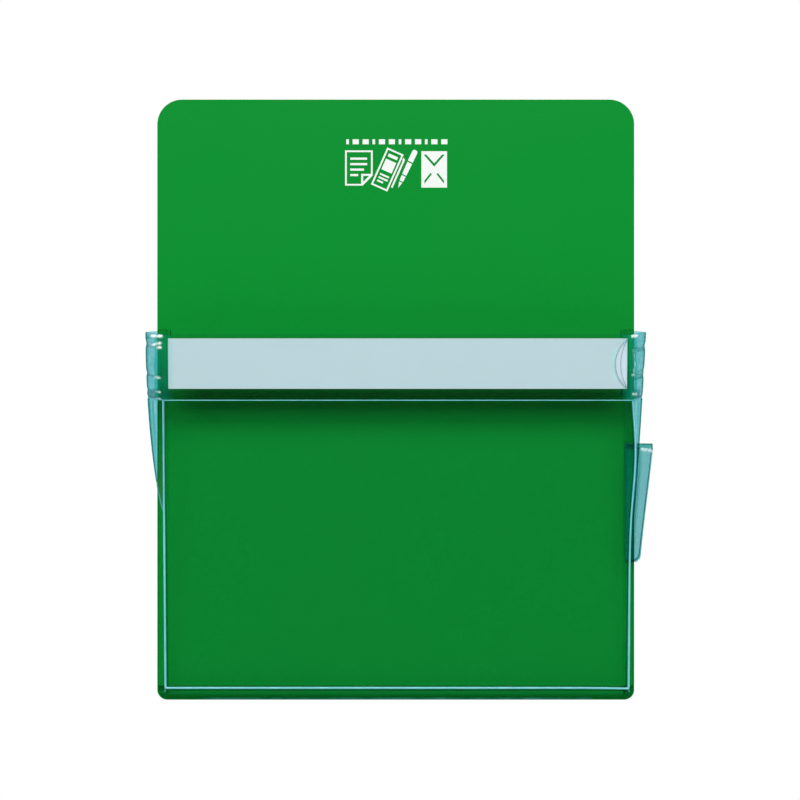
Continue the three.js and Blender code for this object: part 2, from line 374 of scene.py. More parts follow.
def magnetRubber():
    look = {
        "dark": (0.018, 0.014, 0.012, 1),
        "pale": (0.05, 0.04, 0.034, 1),
        "speck": (1800.0, 3.0, 0.7),
        "speckRange": (0.4, 0.7),
        "broad": (30.0, 2.0),
        "roughness": (0.6, 0.8),
        "bump": (0.3, 0.00005),
    }
    material, graph = newMaterial("magnetRubber")
    place = graph.place()
    speck = graph.noise(place, *look["speck"])
    broad = graph.noise(place, *look["broad"])
    specks = graph.span(speck, *look["speckRange"], 0, 1)
    shown(graph, graph.node("ShaderNodeBsdfPrincipled", None, {
        "Base Color": graph.colour(specks, look["dark"], look["pale"]),
        "Roughness": graph.spread(broad, *look["roughness"]),
        "Normal": graph.bump(speck, *look["bump"]),
    }))
    return material


def titlePaper():
    look = {
        "base": (0.75, 0.815, 0.8, 1),
        "shade": (0.715, 0.78, 0.765, 1),
        "bare": (0.61, 0.765, 0.83, 1),
        "fibre": (900.0, 4.0, 0.65),
        "cloud": (45.0, 2.0),
        "roughness": (0.75, 0.9),
        "specular": 0.2,
        "bump": (0.25, 0.00003),
        "bareEdge": (-0.4, 0.2),  # from the notch's edge: bare inside the first, tinted beyond the second
    }
    material, graph = newMaterial("titlePaper")
    place = graph.place()
    fibre = graph.noise(place, *look["fibre"])
    cloud = graph.noise(place, *look["cloud"])
    # Where the film is cut away at the thumb notch no film tints the paper
    centre, radius = notchCircle(notchSizes["reach"], notchSizes["right"], notchSizes["height"])
    inner, outer = ((radius + step) * mm for step in look["bareEdge"])
    level = graph.node("ShaderNodeVectorMath", {"operation": "MULTIPLY"}, {0: place, 1: (1, 0, 1)})
    away = graph.node("ShaderNodeVectorMath", {"operation": "DISTANCE"}, {
        0: level, 1: (centre * mm, 0, notchSizes["middle"] * mm),
    }).out("Value")
    paper = graph.colour(cloud, look["base"], look["shade"])
    shown(graph, graph.node("ShaderNodeBsdfPrincipled", None, {
        "Base Color": graph.colour(graph.span(away, inner, outer, 1, 0), paper, look["bare"]),
        "Roughness": graph.spread(fibre, *look["roughness"]),
        "Specular IOR Level": look["specular"],
        "Normal": graph.bump(fibre, *look["bump"]),
    }))
    return material


def printInk():
    look = {
        "base": (0.9, 0.93, 0.9, 1),
        "thin": (0.84, 0.88, 0.85, 1),
        "speck": (700.0, 3.0, 0.6),
        "roughness": (0.45, 0.6),
        "specular": 0.25,
    }
    material, graph = newMaterial("printInk")
    speck = graph.noise(graph.place(), *look["speck"])
    shown(graph, graph.node("ShaderNodeBsdfPrincipled", None, {
        "Base Color": graph.colour(speck, look["base"], look["thin"]),
        "Roughness": graph.spread(speck, *look["roughness"]),
        "Specular IOR Level": look["specular"],
    }))
    return material


# Clear tinted film. Its tone runs from 0 where it is faint, through 1 on the front panel and
# 2 in the folded sides, to 3 along a fold. Painted light, a lit green, brightens it over the sheet,
# and a painted highlight, white and glowing, lies along its creases.
filmLook = {
    "faint": (0.9, 0.995, 1.0, 1),
    "panel": (0.92, 0.965, 0.985, 1),
    "gusset": (0.6, 0.853, 0.87, 1),
    "sleeve": (0.613, 0.825, 0.837, 1),
    "fold": (0.27, 0.62, 0.6, 1),
    # Painted light: a lit green laid into the film where it lies over the sheet
    "paintedLightGreen": (0.004, 0.6, 0.36, 1),
    "wave": (22.0, 2.0),
    "fine": (260.0, 2.0),
    "fineShare": 0.1,
    "bump": (0.25, 0.0006),
    "gloss": (0.1, 0.16),
    "shineAhead": 0.015,  # gloss where the film faces the camera
    "shineAside": 0.2,  # and what is added where it turns away
    "shinePower": 5.0,
    "breaks": (420.0, 3.0, 0.6),
    "breakRange": (0.36, 0.62, 0.5, 1.6),  # noise from and to, whitening from and to
    # Painted highlight: white film that glows, laid along the creases
    "paintedHighlight": (0.93, 0.98, 0.99, 1),
    "paintedHighlightRoughness": 0.3,
    "glow": (0.9, 1.0, 1.0, 1),
    "glowStrength": 0.35,
}


def clearFilm(name, gusset):
    material, graph = newMaterial(name)
    place = graph.place()

    def attribute(key):
        return graph.node("ShaderNodeAttribute", {"attribute_name": key}).out("Fac")

    tone = attribute("tone")
    wave = graph.noise(place, *filmLook["wave"])
    fine = graph.noise(place, *filmLook["fine"])
    height = wave * (1 - filmLook["fineShare"]) + fine * filmLook["fineShare"]
    normal = graph.bump(height, *filmLook["bump"])
    body = graph.node("ShaderNodeBsdfTransparent", None, {"Color": filmLook["faint"]})
    for step, tint in enumerate((filmLook["panel"], gusset, filmLook["fold"])):
        deeper = graph.node("ShaderNodeBsdfTransparent", None, {"Color": tint})
        share = graph.node("ShaderNodeMapRange", None, {
            "Value": tone, "From Min": float(step), "From Max": step + 1.0,
        })
        body = graph.mix(share, body, deeper)
    shine = graph.node("ShaderNodeBsdfAnisotropic", None, {
        "Color": (1, 1, 1, 1),
        "Roughness": graph.spread(wave, *filmLook["gloss"]),
        "Normal": normal,
    })
    facing = graph.node("ShaderNodeLayerWeight", None, {"Blend": 0.5, "Normal": normal}).out("Facing")
    glint = filmLook["shineAhead"] + filmLook["shineAside"] * facing ** filmLook["shinePower"]
    paintedLightGreen = graph.node("ShaderNodeBsdfDiffuse", None, {"Color": filmLook["paintedLightGreen"]})
    breaks = graph.noise(place, *filmLook["breaks"])
    broken = graph.span(breaks, *filmLook["breakRange"])
    paintedHighlight = graph.node("ShaderNodeBsdfPrincipled", None, {
        "Base Color": filmLook["paintedHighlight"],
        "Roughness": filmLook["paintedHighlightRoughness"],
        "Emission Color": filmLook["glow"],
        "Emission Strength": filmLook["glowStrength"],
    })
    # Painted light: the lit green mixed into the film's body
    film = graph.mix(glint, graph.mix(attribute("paintedLight"), body, paintedLightGreen), shine)
    # Painted highlight: where the crease value is high the film turns white and glows
    shown(graph, graph.mix((attribute("crease") * broken).lower(1.0), film, paintedHighlight))
    return material


# The cut edge of the film, where the light gathers
def filmEdge():
    look = {
        "dark": (0.003, 0.08, 0.05, 1),
        "pale": (0.005, 0.12, 0.08, 1),
        "clear": (0.3, 0.66, 0.64, 1),
        "breaks": (150.0, 2.0),
        "roughness": (0.6, 0.75),
        "specular": 0.03,
        "solid": (0.35, 0.6),
    }
    material, graph = newMaterial("filmEdge")
    broken = graph.noise(graph.place(), *look["breaks"])
    clear = graph.node("ShaderNodeBsdfTransparent", None, {"Color": look["clear"]})
    body = graph.node("ShaderNodeBsdfPrincipled", None, {
        "Base Color": graph.colour(broken, look["dark"], look["pale"]),
        "Roughness": graph.spread(broken, *look["roughness"]),
        "Specular IOR Level": look["specular"],
    })
    shown(graph, graph.mix(graph.spread(broken, *look["solid"]), clear, body))
    return material


# Welded lines of film: two colours of each kind and the tint it lets through
# The bright kind paints the light that the rounded welds and folds catch, over their own cyan; the shade
# kind is painted shade.
lineLooks = {
    "bright": ((0.2, 0.76, 0.82, 1), (0.28, 0.86, 0.92, 1), (0.55, 0.9, 0.95, 1)),
    "dark": ((0.01, 0.3, 0.3, 1), (0.02, 0.38, 0.38, 1), (0.45, 0.8, 0.8, 1)),
    "shade": ((0.002, 0.1, 0.05, 1), (0.003, 0.12, 0.06, 1), (0.72, 0.82, 0.8, 1)),
    "notch": ((0.5, 0.56, 0.62, 1), (0.56, 0.62, 0.68, 1), (0.88, 0.92, 0.94, 1)),
    "breaks": (120.0, 3.0),
    "roughness": (0.15, 0.3),
    "coat": 0.4,
    "uneven": 0.06,
}


# Solid is how much of a line's own colour shows: 1 hides what is behind it
def beadFilm(name, solid, kind="bright"):
    first, second, tint = lineLooks[kind]
    least, most = solid - lineLooks["uneven"], solid + lineLooks["uneven"]
    material, graph = newMaterial(name)
    broken = graph.noise(graph.place(), *lineLooks["breaks"])
    body = graph.node("ShaderNodeBsdfPrincipled", None, {
        "Base Color": graph.colour(broken, first, second),
        "Roughness": graph.spread(broken, *lineLooks["roughness"]),
        "Coat Weight": lineLooks["coat"],
    })
    clear = graph.node("ShaderNodeBsdfTransparent", None, {"Color": tint})
    shown(graph, graph.mix(graph.spread(broken, least, most), clear, body))
    return material


pocketLook = clearFilm("pocketFilm", filmLook["gusset"])
sleeveLook = clearFilm("sleeveFilm", filmLook["sleeve"])
edgeLook = filmEdge()
lineLook = beadFilm("foldLine", 0.3, "dark")
print("materials made")


# The pocket's film

filmSizes = {
    "panelSpans": 44,
    "gussetSpans": 14,
    "flangeSpans": 3,
    "panelRows": 84,
    "rimRows": 64,
    "floorRows": 7,
    "weldGap": 0.02,
    "foldRadius": 0.6,
    "pleatRadius": 0.55,
    "rootRadius": 0.25,
    "leastFold": 0.2,
    "flattens": 3.0,  # the depth below which the gussets lie down on the sheet
    "flatOut": 0.3,  # how far beyond the root the flat gusset's first fold lies
    "flatStep": 0.25,  # and how far inwards each next one
    "footSteps": (0.01, 0.3, 0.5),  # rows above the film's foot
    "floorShare": 0.93,  # the share of the floor that lies below the panel's round foot
    "foldSteps": ((-0.15, 0.28), (0.08, 0.12), (0.4, 0.02)),  # rows up and back from that foot
    "panelFrom": 0.8,
    "rimFrom": -2.0,
    "mouthRise": 0.54,
}
# Where the parts of a row start, counted in points from either end
pleatStart = filmSizes["flangeSpans"] + 1 + arcTurns + filmSizes["gussetSpans"]
pleatEnd = pleatStart + arcTurns
panelStart = pleatEnd + filmSizes["gussetSpans"] + arcTurns

# Small dents that the rim's weld leaves in the gussets: height, half width and depth of each
puckers = {
    -1: [(26.5, 1.6, 0.5), (12.0, 1.2, 0.45), (3.6, 0.8, 0.35), (0.2, 0.8, 0.4)],
    1: [(25.4, 1.4, 0.5), (13.3, 1.0, 0.4), (10.9, 1.0, 0.4), (0.3, 0.8, 0.4)],
}


def softPuckers(y, side):
    return sum(deep * hump(y, at, half) for at, half, deep in puckers[side])


def pocketRow(y, depth, flangeX):
    corners = pocketCorners(y, depth)
    left, right = corners[1], corners[4]
    lift = pocket["film"] + filmSizes["weldGap"]
    slopeLeft = (left[0] + pocket["rootX"]) / max(left[1], filmSizes["leastFold"])
    slopeRight = (right[0] - pocket["rootX"]) / max(right[1], filmSizes["leastFold"])
    flat = 1 - held((depth - lift) / filmSizes["flattens"])
    middle = lift + (depth - lift) / 2 if depth < filmSizes["flattens"] else depth / 2

    def eased(x, side, step):
        lying = pocket["rootX"] + filmSizes["flatOut"] - step * filmSizes["flatStep"]
        return x + (side * lying - x) * flat

    path = [
        (-flangeX, lift),
        (eased(-pocket["rootX"] + slopeLeft * lift, -1, 0), lift),
        (eased(left[0] + softPuckers(y, -1), -1, 1), middle),
        (eased(corners[2][0], -1, 2), depth),
        (eased(corners[3][0], 1, 2), depth),
        (eased(right[0] - softPuckers(y, 1), 1, 1), middle),
        (eased(pocket["rootX"] + slopeRight * lift, 1, 0), lift),
        (flangeX, lift),
    ]
    fold, pleat, root = (filmSizes[key] for key in ("foldRadius", "pleatRadius", "rootRadius"))
    flange, gusset = filmSizes["flangeSpans"], filmSizes["gussetSpans"]
    return roundedPath(
        path,
        (root, pleat, fold, fold, pleat, root),
        (flange, gusset, gusset, filmSizes["panelSpans"], gusset, gusset, flange),
    )


def flangeHalf(y):
    into = max(pocket["filmFoot"] + pocket["footRadius"] - y, 0)
    loss = pocket["footRadius"] - math.sqrt(max(pocket["footRadius"] ** 2 - into ** 2, 0))
    return pocket["filmEdge"] - loss


# The height and depth of each row of the film, from its foot up to its mouth
def filmRows():
    lift = pocket["film"] + filmSizes["weldGap"]
    foot = [(pocket["filmFoot"] + step, lift) for step in filmSizes["footSteps"]]
    floor = []
    for i in range(filmSizes["floorRows"] + 1):
        t = i / filmSizes["floorRows"] * filmSizes["floorShare"]
        y = pocket["floorWeld"] + (pocket["panelFoot"] - pocket["floorWeld"]) * t
        floor.append((y, max(pocket["baseDepth"] * t, lift)))
    fold = [(pocket["panelFoot"] + up, pocket["baseDepth"] - back)
            for up, back in filmSizes["foldSteps"]]
    panel = []
    panelFrom = pocket["panelFoot"] + filmSizes["panelFrom"]
    rimTop = pocket["mouth"] + filmSizes["mouthRise"]
    for low, high, count in ((panelFrom, filmSizes["rimFrom"], filmSizes["panelRows"]),
                             (filmSizes["rimFrom"], rimTop, filmSizes["rimRows"])):
        for i in range(count):
            y = low + (high - low) * i / count
            panel.append((y, panelDepth(y)))
    return foot + floor + fold + panel


# How strongly the film is tinted. Its sides deepen where they stand out beyond the sheet, and
# its floor where it comes forward to the panel, which paints the shade on the strip below the pocket.
filmTones = {
    "faint": 0.2,
    "panel": 1.0,
    "side": 2.0,
    "sideFrom": 119.5,  # where the sides start to deepen, out from the middle
    "sideOver": 0.7,
    "lean": 0.1,  # a point counts as further out by this share of its depth
    "fold": 1.0,  # added along the pleat's fold
    "besideFold": 0.45,
    "foldFrom": 118.6,
    "darkCrease": 1.2,
    "beyondSheet": 119.8,
    "floor": 1.9,
    "floorFront": 0.7,  # added towards the panel
    "frontFrom": 0.6,  # where that starts, as a share of the depth at the panel's foot
    "floorBelow": 0.2,  # rows this far behind the panel's foot are floor
}


def sideTone(x, depth, faint, full):
    share = held((abs(x) + depth * filmTones["lean"] - filmTones["sideFrom"]) / filmTones["sideOver"])
    return faint + (full - faint) * share * share * (3 - 2 * share)


# Creases of the rim's gussets, from the pleat's fold at 0 to the panel's fold at 1, by height:
# where each starts and ends, its half width in millimetres and its strength
# The pale creases are painted highlights; the dark ones deepen the film's tint.
creaseLines = {
    "pale": {
        -1: [(0.36, 30.6, 0.95, 31.3, 0.55, 1.0), (0.34, 26.0, 0.8, 27.7, 0.5, 1.0),
             (0.66, 25.4, 0.84, 25.6, 0.5, 0.7), (0.52, 10.5, 0.74, 10.4, 0.45, 0.4),
             (0.5, 3.4, 0.76, 3.3, 0.35, 0.4), (0.55, 0.2, 0.75, 0.1, 0.3, 0.35)],
        1: [(0.93, 31.2, 0.62, 31.0, 0.6, 0.9), (0.83, 24.5, 0.7, 17.0, 0.22, 0.28),
            (0.7, 17.0, 0.82, 11.6, 0.22, 0.28), (0.92, 12.0, 0.76, 12.0, 0.4, 0.4),
            (0.92, 2.6, 0.55, 2.2, 0.5, 0.4)],
    },
    "dark": {
        -1: [(0.0, 24.8, 0.9, 27.0, 0.4, 1.0), (0.0, 29.4, 1.0, 30.0, 0.3, 0.7),
             (0.05, 11.0, 0.62, 10.8, 0.45, 1.0), (0.0, 0.2, 1.0, 0.2, 0.35, 1.0)],
        1: [(0.0, 24.2, 0.85, 25.0, 0.45, 1.0), (0.1, 23.6, 0.5, 23.4, 0.5, 1.0),
            (0.0, 13.0, 0.55, 12.9, 0.3, 0.8), (0.0, 10.0, 0.66, 9.9, 0.5, 1.0),
            (0.2, 11.4, 0.6, 11.4, 0.9, 0.5), (0.0, 0.5, 1.0, 0.5, 0.35, 1.0)],
    },
    "width": 9.0,  # of a gusset, in millimetres
    "from": -1.5,  # the height at which they come in
    "over": 1.5,
    "end": 0.94,  # how far across the gusset they run
    "leastGusset": 0.5,
    # Painted light in the rim's gussets over the sheet: how much on each side, more towards the sheet's
    # edge
    "paintedLights": {-1: 0.09, 1: 0.15},
    "morePaintedLight": 0.16,  # added towards the sheet's edge
    "paintedLightFrom": 116.6,
    "paintedLightOver": 1.6,
}


def creaseAt(kind, side, across, y):
    strongest = 0.0
    wide = creaseLines["width"]
    for u0, y0, u1, y1, half, strength in creaseLines[kind][side]:
        dx, dy = (u1 - u0) * wide, y1 - y0
        px, py = (across - u0) * wide, y - y0
        t = held((px * dx + py * dy) / (dx * dx + dy * dy))
        away = math.hypot(px - t * dx, py - t * dy)
        strongest = max(strongest, strength * hump(away, 0, half))
    return strongest


# The gussets' stripes below the rim and the faint painted highlight in it: pale and dark, by how far
# across the gusset the middle lies, half width and strength. The pale stripes are painted highlights.
stripes = {
    "pale": {-1: (0.5, 0.08, 0.3), 1: (0.64, 0.09, 0.34)},
    "dark": {-1: (0.3, 0.05, 0.7), 1: (0.4, 0.06, 0.7)},
    "faintHighlight": 0.055,
    "start": 3.0,
    "fade": 45.0,
}


def stripeAt(kind, side, across, y):
    at, half, strength = stripes[kind][side]
    below = held(-y / stripes["start"]) * max(1 + y / stripes["fade"], 0)
    return below * strength * hump(across, at, half)


# Tone, painted highlight and painted light at a point of a gusset. The column counts from the row's
# nearer end, and tip and fold are how far out the pleat and the panel's fold reach.
def gussetLook(side, x, y, depth, column, tip, fold):
    out = abs(x)
    inRim = held((y - creaseLines["from"]) / creaseLines["over"])
    beyond = out > filmTones["beyondSheet"]
    tone = sideTone(x, depth, filmTones["faint"], filmTones["side"])
    crease = paintedLight = 0.0
    if pleatStart - 1 <= column <= pleatEnd and out > filmTones["foldFrom"]:
        tone += filmTones["fold" if pleatStart <= column < pleatEnd else "besideFold"]
    if column >= pleatEnd:
        across = (tip - out) / max(tip - fold, creaseLines["leastGusset"])
        if across < creaseLines["end"]:
            crease = inRim * max(creaseAt("pale", side, across, y), stripes["faintHighlight"] * beyond)
            crease += stripeAt("pale", side, across, y) * beyond
        tone += filmTones["darkCrease"] * inRim * creaseAt("dark", side, across, y)
        tone += stripeAt("dark", side, across, y) * beyond
        # Painted light: lit green where the gusset lies over the sheet
        rise = held((out - creaseLines["paintedLightFrom"]) / creaseLines["paintedLightOver"])
        paintedLight = creaseLines["paintedLights"][side] + creaseLines["morePaintedLight"] * rise
        paintedLight *= inRim * (not beyond)
    return tone, crease, paintedLight


def pocketFilm():
    rows = []
    layers = {"tone": [], "crease": [], "paintedLight": []}
    for y, depth in filmRows():
        row = pocketRow(y, depth, flangeHalf(y))
        rows.append([(x, riseTowardsBacking(y, d, max(depth, 1)), d) for x, d in row])
        tips = {-1: -min(x for x, d in row), 1: max(x for x, d in row)}
        folds = {-1: -pocket["leftCrease"], 1: rightCrease(y)}
        floorTone = 0.0
        # Painted shade: the floor's deeper tint darkens the strip below the pocket
        if depth < pocket["baseDepth"] - filmTones["floorBelow"]:
            front = max(0, depth / pocket["baseDepth"] - filmTones["frontFrom"])
            share = front / (1 - filmTones["frontFrom"])
            floorTone = filmTones["floor"] + filmTones["floorFront"] * share
        looks = []
        for j, (x, d) in enumerate(row):
            side = -1 if j < len(row) / 2 else 1
            column = min(j, len(row) - 1 - j)
            tone, crease, paintedLight = filmTones["panel"], 0.0, 0.0
            if column < panelStart:
                tone, crease, paintedLight = gussetLook(side, x, y, d, column, tips[side], folds[side])
            looks.append((max(tone, floorTone), crease, paintedLight))
        for key, values in zip(layers, zip(*looks)):
            layers[key].append(values)
    return filmShell("pocketFilm", rows, layers, pocketLook, pocket["film"])


film = pocketFilm()


# The thumb notch in the front film, over the title strip's right end

notchSizes = {
    "right": 114.6,
    "middle": 17.8,
    "height": 24.0,
    "reach": 6.0,
    "steps": 40,
    "cutOut": 1.5,  # how far the cutter stands out in front of the film
    "cutIn": 0.55,  # and how far it goes in, short of the title strip
    "rimIn": 0.3,  # the rim's line: how much shallower its arc is
    "rimLeft": 0.2,
    "lineHeight": 23.5,  # the pressed line
    "lineReach": 3.2,
    "lineRight": 114.5,
    "lineSink": 0.05,
    "lineRadius": 0.2,
    "lineSolid": 0.3,
}


def notchCircle(reach, chordX, height):
    half = height / 2
    radius = (half ** 2 + reach ** 2) / (2 * reach)
    return chordX + radius - reach, radius


def notchArc(reach, chordX, height):
    centre, radius = notchCircle(reach, chordX, height)
    spread = math.asin(height / 2 / radius)
    points = []
    for i in range(notchSizes["steps"] + 1):
        angle = math.pi - spread + 2 * spread * i / notchSizes["steps"]
        points.append((centre + radius * math.cos(angle),
                       notchSizes["middle"] + radius * math.sin(angle)))
    return points


def cutNotch(piece):
    arc = notchArc(notchSizes["reach"], notchSizes["right"], notchSizes["height"])
    count = len(arc)
    verts = [toWorld(x, y, panelDepth(y) + notchSizes["cutOut"]) for x, y in arc]
    verts += [toWorld(x, y, panelDepth(y) - notchSizes["cutIn"]) for x, y in arc]
    faces = [tuple(range(count)), tuple(range(2 * count - 1, count - 1, -1))]
    for i in range(count):
        j = (i + 1) % count
        faces.append((i, i + count, j + count, j))
    cutter = meshObject("notchCutter", verts, faces, pocketLook, False)
    cutter.data.materials.append(edgeLook)
    for polygon in cutter.data.polygons:
        polygon.material_index = 1
    boolean = piece.modifiers.new("Notch", "BOOLEAN")
    boolean.operation = "DIFFERENCE"
    boolean.solver = "EXACT"
    boolean.object = cutter
    applied(piece)
    bpy.data.objects.remove(cutter)


cutNotch(film)
print("pocket film made")


# The rim's inner layer

rimSizes = {
    "rows": 26,
    "gussetSpans": 8,
    "panelSpans": 44,
    "closed": 0.7,  # how far inside the outer film it lies where the two are welded
    "open": 1.25,  # and above the weld, where it holds the title strip
    "seamTop": 2.9,
    "openFrom": 4.1,
    "pleatGap": 0.9,
    "rootDepth": 0.5,
    "pleatRadius": 0.45,
    "foldRadius": 0.5,
    "faint": 0.3,
    "side": 0.55,
    # Painted shadow: round the weld the film is darkened where the title strip's shadow falls
    "weldAt": 1.4,
    "weldHalf": 2.2,
    "weldFade": 1.0,
    "weldAndShadowTone": 1.7,
}


def rimLayer():
    rows, tones = [], []
    gusset, panel = rimSizes["gussetSpans"], rimSizes["panelSpans"]
    pleat, fold = rimSizes["pleatRadius"], rimSizes["foldRadius"]
    for i in range(rimSizes["rows"] + 1):
        y = pocket["rimFoot"] + (pocket["mouth"] - pocket["rimFoot"]) * i / rimSizes["rows"]
        rise = held((y - rimSizes["seamTop"]) / (rimSizes["openFrom"] - rimSizes["seamTop"]))
        inset = rimSizes["closed"] + (rimSizes["open"] - rimSizes["closed"]) * rise
        depth = panelDepth(y)
        outer = pocketCorners(y)
        corners = insetPath(outer, inset)
        corners[0] = (corners[0][0], rimSizes["rootDepth"])
        corners[-1] = (corners[-1][0], rimSizes["rootDepth"])
        for k, side in ((1, -1), (4, 1)):
            tip = outer[k][0] - side * (rimSizes["pleatGap"] + softPuckers(y, side))
            corners[k] = (tip, outer[k][1])
        row = roundedPath(corners, (pleat, fold, fold, pleat), (gusset, gusset, panel, gusset, gusset))
        rows.append([(x, riseTowardsBacking(y, d, depth), d) for x, d in row])
        # Painted shadow of the title strip, laid over the weld band
        past = max(abs(y - rimSizes["weldAt"]) - rimSizes["weldHalf"], 0)
        weld = rimSizes["weldAndShadowTone"] * (1 - min(past / rimSizes["weldFade"], 1))
        tones.append([sideTone(x, d, rimSizes["faint"], rimSizes["side"]) + weld for x, d in row])
    return filmShell("rimLayer", rows, {"tone": tones}, pocketLook, pocket["film"])


rim = rimLayer()
print("rim layer made")


# The welded bead on the panel's three folds

beadSizes = {
    "radius": 0.56,
    "solid": 0.86,
    "corner": 0.5,
    "bend": 0.3,  # the corner's middle point, as a share of the corner
    "rows": 60,
    "spans": 32,
    "outwards": 0.2,
    "lower": 0.25,
    "dip": 0.3,  # how far it sinks towards its right end
    "dipFrom": 0.86,
}


def beadPath(outwards):
    def middle(y, index):
        x, depth = insetPath(pocketCorners(y), -outwards)[index]
        return x, y, depth - 2 * outwards

    corner = beadSizes["corner"]
    top, foot = pocket["rimFoot"], pocket["panelFoot"] - beadSizes["lower"] - outwards
    heights = [top + (foot + corner - top) * i / beadSizes["rows"]
               for i in range(beadSizes["rows"] + 1)]
    left = [middle(y, 2) for y in heights]
    right = [middle(y, 3) for y in reversed(heights)]
    low = [middle(foot, 2), middle(foot, 3)]
    across = []
    start, end = low[0][0] + corner, low[1][0] - corner
    for i in range(beadSizes["spans"] + 1):
        t = i / beadSizes["spans"]
        sink = max(0, (t - beadSizes["dipFrom"]) / (1 - beadSizes["dipFrom"])) ** 2
        across.append((start + (end - start) * t, foot - beadSizes["dip"] * sink, low[0][2]))
    bend = corner * beadSizes["bend"]
    cornerLeft = (low[0][0] + bend, foot + bend, low[0][2])
    cornerRight = (low[1][0] - bend, foot + bend - beadSizes["dip"], low[1][2])
    return left + [cornerLeft] + across + [cornerRight] + right


# The film's fold from each lower corner of the panel down towards the weld

cornerSizes = {
    "radius": 0.45,
    "solid": 0.3,
    "steps": (0, 0.15, 0.3, 0.45),  # along the fold, which would reach the weld at 1
    "out": 0.3,
    "spread": 1.2,
    "low": 0.6,
    "fall": 4.6,
    "back": 0.6,
    "deeper": 5.6,
}


def cornerPaths():
    high, front = pocket["panelFoot"] - cornerSizes["low"], pocket["baseDepth"] - cornerSizes["back"]
    paths = []
    for side, crease in ((-1, pocket["leftCrease"]), (1, pocket["rightCrease"])):
        paths.append([
            (crease + side * (cornerSizes["out"] + cornerSizes["spread"] * t),
             high - cornerSizes["fall"] * t,
             front - cornerSizes["deeper"] * t)
            for t in cornerSizes["steps"]
        ])
    return paths


beadSides = 14  # points round each line


# Node group: any line of edges becomes a round bead of the given radius
def beadNodes(material):
    tree = bpy.data.node_groups.new("roundBead", "GeometryNodeTree")
    tree.interface.new_socket("Geometry", in_out="INPUT", socket_type="NodeSocketGeometry")
    radius = tree.interface.new_socket("Radius", in_out="INPUT", socket_type="NodeSocketFloat")
    tree.interface.new_socket("Geometry", in_out="OUTPUT", socket_type="NodeSocketGeometry")
    graph = Graph(tree)
    source = graph.node("NodeGroupInput")
    circle = graph.node("GeometryNodeCurvePrimitiveCircle", {"mode": "RADIUS"}, {
        "Resolution": beadSides, "Radius": source.out("Radius"),
    })
    line = graph.node("GeometryNodeMeshToCurve", None, {"Mesh": source.out("Geometry")})
    tube = graph.node("GeometryNodeCurveToMesh", None, {
        "Curve": line, "Profile Curve": circle, "Fill Caps": True,
    })
    smooth = graph.node("GeometryNodeSetShadeSmooth", None, {"Geometry": tube})
    real = graph.node("GeometryNodeRealizeInstances", None, {"Geometry": smooth})
    coated = graph.node("GeometryNodeSetMaterial", None, {"Geometry": real, "Material": material})
    graph.node("NodeGroupOutput", None, {"Geometry": coated})
    return tree, radius.identifier


# Round lines along paths of points, as one plain mesh
def roundLines(name, paths, radius, material):
    points, edges = [], []
    for path in paths:
        first = len(points)
        points += [toWorld(*point) for point in path]
        edges += [(i, i + 1) for i in range(first, len(points) - 1)]
    mesh = bpy.data.meshes.new(name)
    mesh.from_pydata(points, edges, [])
    made = bpy.data.objects.new(name, mesh)
    scene.collection.objects.link(made)
    tree, identifier = beadNodes(material)
    modifier = made.modifiers.new("Bead", "NODES")
    modifier.node_group = tree
    modifier[identifier] = radius * mm
    return applied(made)


# The bead's bright cyan is painted highlight over the weld's own tint
beads = roundLines("foldBeads", [beadPath(beadSizes["outwards"])], beadSizes["radius"],
                   beadFilm("beadFilm", beadSizes["solid"]))
corners = roundLines("cornerFolds", cornerPaths(), cornerSizes["radius"],
                     beadFilm("cornerFilm", cornerSizes["solid"]))


# Painted shade: dark lines beside the bead, where the film turns away, and under the panel's foot

shadeSizes = {
    "radius": 0.4,
    "solid": 0.1,
    "inside": 0.85,
    "behind": 0.45,
    "low": 1.7,
    "left": -113.6,
    "length": 228.4,
    "back": 1.4,
    "spans": 20,
}


def shadePaths():
    inner = [(x, y, depth - shadeSizes["behind"])
             for x, y, depth in beadPath(-shadeSizes["inside"])]
    low = pocket["panelFoot"] - shadeSizes["low"]
    depth = pocket["baseDepth"] - shadeSizes["back"]
    left, length, spans = (shadeSizes[key] for key in ("left", "length", "spans"))
    return [inner, [(left + length * i / spans, low, depth) for i in range(spans + 1)]]


shades = roundLines("foldShades", shadePaths(), shadeSizes["radius"],
                    beadFilm("foldShade", shadeSizes["solid"], "shade"))


# The outline of each pleat, where it reaches out between two distances from the middle

pleatSizes = {
    "radius": 0.3,
    "endRadius": 0.4,
    "endSolid": 0.3,
    "below": 0.2,
    "rows": 91,  # a millimetre apart
    "inside": 0.34,
    "outside": (119.3, 130.0),
    "end": (116.1, 119.3),
    "dentsFrom": -1.0,
}


def pleatPaths(least, most):
    paths = []
    for corner, side in ((1, -1), (4, 1)):
        path = []
        for i in range(pleatSizes["rows"]):
            y = pocket["mouth"] - pleatSizes["below"] - i
            x, depth = pocketCorners(y)[corner]
            dent = softPuckers(y, side) * (y > pleatSizes["dentsFrom"])
            reach = abs(x) - dent - pleatSizes["inside"]
            if least < reach < most:
                path.append((side * reach, riseTowardsBacking(y, depth, panelDepth(y)), depth))
        paths.append(path)
    return paths


outlines = roundLines("pleatLines", pleatPaths(*pleatSizes["outside"]), pleatSizes["radius"],
                      lineLook)
pleatEnds = roundLines("pleatEnds", pleatPaths(*pleatSizes["end"])[:1], pleatSizes["endRadius"],
                       beadFilm("pleatEnd", pleatSizes["endSolid"]))


# The line along the foot of the film, on the sheet

footSizes = {"radius": 0.22, "solid": 0.12, "left": -97, "right": 99, "up": 0.2, "depth": 0.7}


def footPath():
    height = pocket["filmFoot"] + footSizes["up"]
    return [(footSizes[end], height, footSizes["depth"]) for end in ("left", "right")]


footEdge = roundLines("footEdge", [footPath()], footSizes["radius"],
                      beadFilm("footEdge", footSizes["solid"]))


